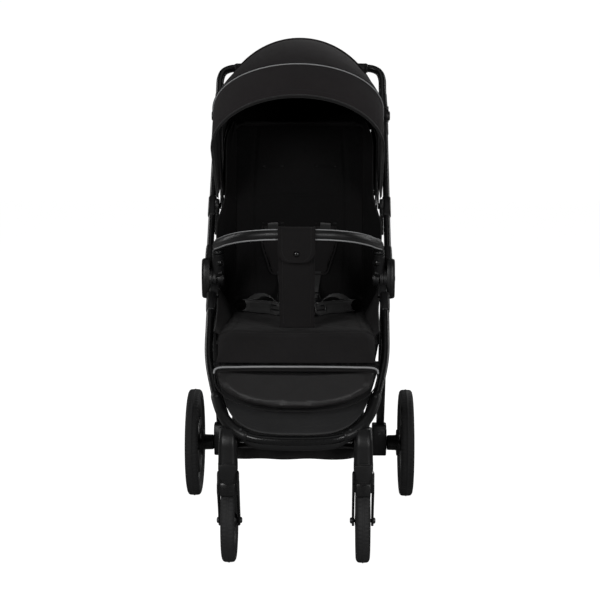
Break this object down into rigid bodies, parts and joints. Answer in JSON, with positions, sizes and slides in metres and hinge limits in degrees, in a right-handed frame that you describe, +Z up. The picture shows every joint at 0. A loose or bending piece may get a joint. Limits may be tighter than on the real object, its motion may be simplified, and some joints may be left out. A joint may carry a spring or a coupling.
{
  "type": "baby stroller",
  "caption": "Folding four-wheel pushchair with reclining seat, fan canopy, leg rest, removable bumper bar, swivelling front wheels and tilting handle.",
  "frame": {"origin": "on the floor, under the middle of the bounding box", "axes": "+Z up, -Y is the front of the pushchair, +X is the right-hand side as seen from the front"},
  "size_m": [0.55, 0.8074, 1.1119],
  "materials": {
    "paint": "satin black powder coat",
    "plastic": "fine grained moulded black",
    "gloss": "satin black",
    "tyre": "matt moulded",
    "fabric": "woven melange black",
    "pad": "padded woven black",
    "leather": "grained, with piping",
    "leg": "wipe-clean coated fabric",
    "web": "woven webbing",
    "steel": "zinc plated",
    "panel": "coated panel"
  },
  "bodies": {
    "front_frame": {"lower_frame_tube": "paint", "foot_panel": "panel", "front_leg_r": "plastic", "front_leg_l": "plastic", "front_crossbar": "paint", "hinge_inner_r": "plastic", "hinge_inner_l": "plastic", "seat_cushion": "pad", "seat_base": "plastic", "seat_front_tube": "paint", "waist_strap_r": "web", "waist_strap_l": "web", "harness_buckle": "gloss", "crotch_strap": "fabric", "basket": "fabric"},
    "upper_frame": {"upper_frame_tube_r": "paint", "upper_frame_tube_l": "paint", "hinge_cover_r": "plastic", "hinge_cover_l": "plastic", "canopy_mount_r": "plastic", "canopy_mount_l": "plastic", "canopy_rear_bow": "plastic", "canopy_rear_fabric": "fabric"},
    "rear_frame": {"rear_leg_r": "paint", "rear_leg_l": "paint", "rear_axle": "plastic"},
    "handle": {"handle_bar": "paint"},
    "handle_button_r": {"tilt_button_r": "plastic"},
    "handle_button_l": {"tilt_button_l": "plastic"},
    "fold_grip": {"fold_trigger": "plastic"},
    "canopy_mid": {"canopy_mid_bow": "plastic"},
    "canopy_front": {"canopy_front_bow": "plastic", "canopy_front_fabric": "fabric"},
    "backrest": {"backrest_board": "plastic", "backrest_pad": "pad", "shoulder_strap_r": "web", "shoulder_strap_l": "web"},
    "leg_support": {"leg_rest": "leg"},
    "bumper_mount": {"bumper_socket_r": "plastic", "bumper_socket_l": "plastic"},
    "bumper": {"bumper_bar": "leather", "strap_sleeve": "fabric"},
    "brake": {"brake_pedal": "gloss"},
    "rear_wheel_r": {"rear_tyre_r": "tyre", "rear_rim_r": "plastic"},
    "rear_wheel_l": {"rear_tyre_l": "tyre", "rear_rim_l": "plastic"},
    "fork_r": {"front_fork_r": "gloss", "front_axle_r": "steel"},
    "fork_l": {"front_fork_l": "gloss", "front_axle_l": "steel"},
    "front_wheel_r": {"front_tyre_r": "tyre", "front_rim_r": "plastic"},
    "front_wheel_l": {"front_tyre_l": "tyre", "front_rim_l": "plastic"},
    "lock_r": {"swivel_lock_r": "gloss"},
    "lock_l": {"swivel_lock_l": "gloss"}
  },
  "joints": [
    {"name": "fold", "type": "hinge", "parent": "front_frame", "child": "upper_frame", "pos_m": [0, -0.02865, 0.573], "axis": [1, 0, 0], "range_deg": [0, 115], "deforming": ["basket"]},
    {"name": "rear_leg_fold", "type": "hinge", "parent": "front_frame", "child": "rear_frame", "pos_m": [0, -0.02865, 0.573], "axis": [1, 0, 0], "range_deg": [-42, 0]},
    {"name": "bumper_fold", "type": "hinge", "parent": "front_frame", "child": "bumper_mount", "pos_m": [0, -0.02865, 0.573], "axis": [1, 0, 0], "range_deg": [0, 27]},
    {"name": "bumper_release", "type": "slide", "parent": "bumper_mount", "child": "bumper", "axis": [0, -0.2388, 0.9711], "range_m": [0, 0.05], "deforming": ["crotch_strap"]},
    {"name": "handle_tilt", "type": "hinge", "parent": "upper_frame", "child": "handle", "pos_m": [0, 0.31135, 0.928], "axis": [1, 0, 0], "range_deg": [-50, 25]},
    {"name": "tilt_button_right", "type": "slide", "parent": "handle", "child": "handle_button_r", "axis": [-1, 0, 0], "range_m": [0, 0.003]},
    {"name": "tilt_button_left", "type": "slide", "parent": "handle", "child": "handle_button_l", "axis": [1, 0, 0], "range_m": [0, 0.003]},
    {"name": "fold_trigger_pull", "type": "slide", "parent": "handle", "child": "fold_grip", "axis": [0, 0, 1], "range_m": [0, 0.003]},
    {"name": "canopy_close", "type": "hinge", "parent": "upper_frame", "child": "canopy_front", "pos_m": [0, 0.11135, 0.725], "axis": [-1, 0, 0], "range_deg": [0, 61], "deforming": ["canopy_front_fabric", "canopy_rear_fabric"]},
    {"name": "canopy_mid_follow", "type": "hinge", "parent": "upper_frame", "child": "canopy_mid", "pos_m": [0, 0.11135, 0.725], "axis": [-1, 0, 0], "range_deg": [0, 31]},
    {"name": "recline", "type": "hinge", "parent": "upper_frame", "child": "backrest", "pos_m": [0, 0.06735, 0.476], "axis": [-1, 0, 0], "range_deg": [0, 35]},
    {"name": "leg_rest_raise", "type": "hinge", "parent": "front_frame", "child": "leg_support", "pos_m": [0, -0.30665, 0.433], "axis": [-1, 0, 0], "range_deg": [0, 38]},
    {"name": "brake_press", "type": "hinge", "parent": "rear_frame", "child": "brake", "pos_m": [0, 0.23635, 0.146], "axis": [-1, 0, 0], "range_deg": [0, 18]},
    {"name": "rear_wheel_spin_r", "type": "hinge", "parent": "rear_frame", "child": "rear_wheel_r", "pos_m": [0.259, 0.23635, 0.131], "axis": [1, 0, 0], "continuous": true},
    {"name": "rear_wheel_spin_l", "type": "hinge", "parent": "rear_frame", "child": "rear_wheel_l", "pos_m": [-0.259, 0.23635, 0.131], "axis": [1, 0, 0], "continuous": true},
    {"name": "swivel_right", "type": "hinge", "parent": "front_frame", "child": "fork_r", "pos_m": [0.142, -0.35565, 0.2], "axis": [0, 0, 1], "continuous": true},
    {"name": "swivel_left", "type": "hinge", "parent": "front_frame", "child": "fork_l", "pos_m": [-0.142, -0.35565, 0.2], "axis": [0, 0, 1], "continuous": true},
    {"name": "front_wheel_spin_r", "type": "hinge", "parent": "fork_r", "child": "front_wheel_r", "pos_m": [0.142, -0.31365, 0.09], "axis": [1, 0, 0], "continuous": true},
    {"name": "front_wheel_spin_l", "type": "hinge", "parent": "fork_l", "child": "front_wheel_l", "pos_m": [-0.142, -0.31365, 0.09], "axis": [1, 0, 0], "continuous": true},
    {"name": "swivel_lock_right", "type": "hinge", "parent": "front_frame", "child": "lock_r", "pos_m": [0.142, -0.37815, 0.228], "axis": [-1, 0, 0], "range_deg": [0, 30]},
    {"name": "swivel_lock_left", "type": "hinge", "parent": "front_frame", "child": "lock_l", "pos_m": [-0.142, -0.37815, 0.228], "axis": [-1, 0, 0], "range_deg": [0, 30]}
  ],
  "couplings": [
    {"joint": "rear_leg_fold", "follows": "fold", "ratio": -0.36522},
    {"joint": "bumper_fold", "follows": "fold", "ratio": 0.23478},
    {"joint": "canopy_mid_follow", "follows": "canopy_close", "ratio": 0.5}
  ]
}
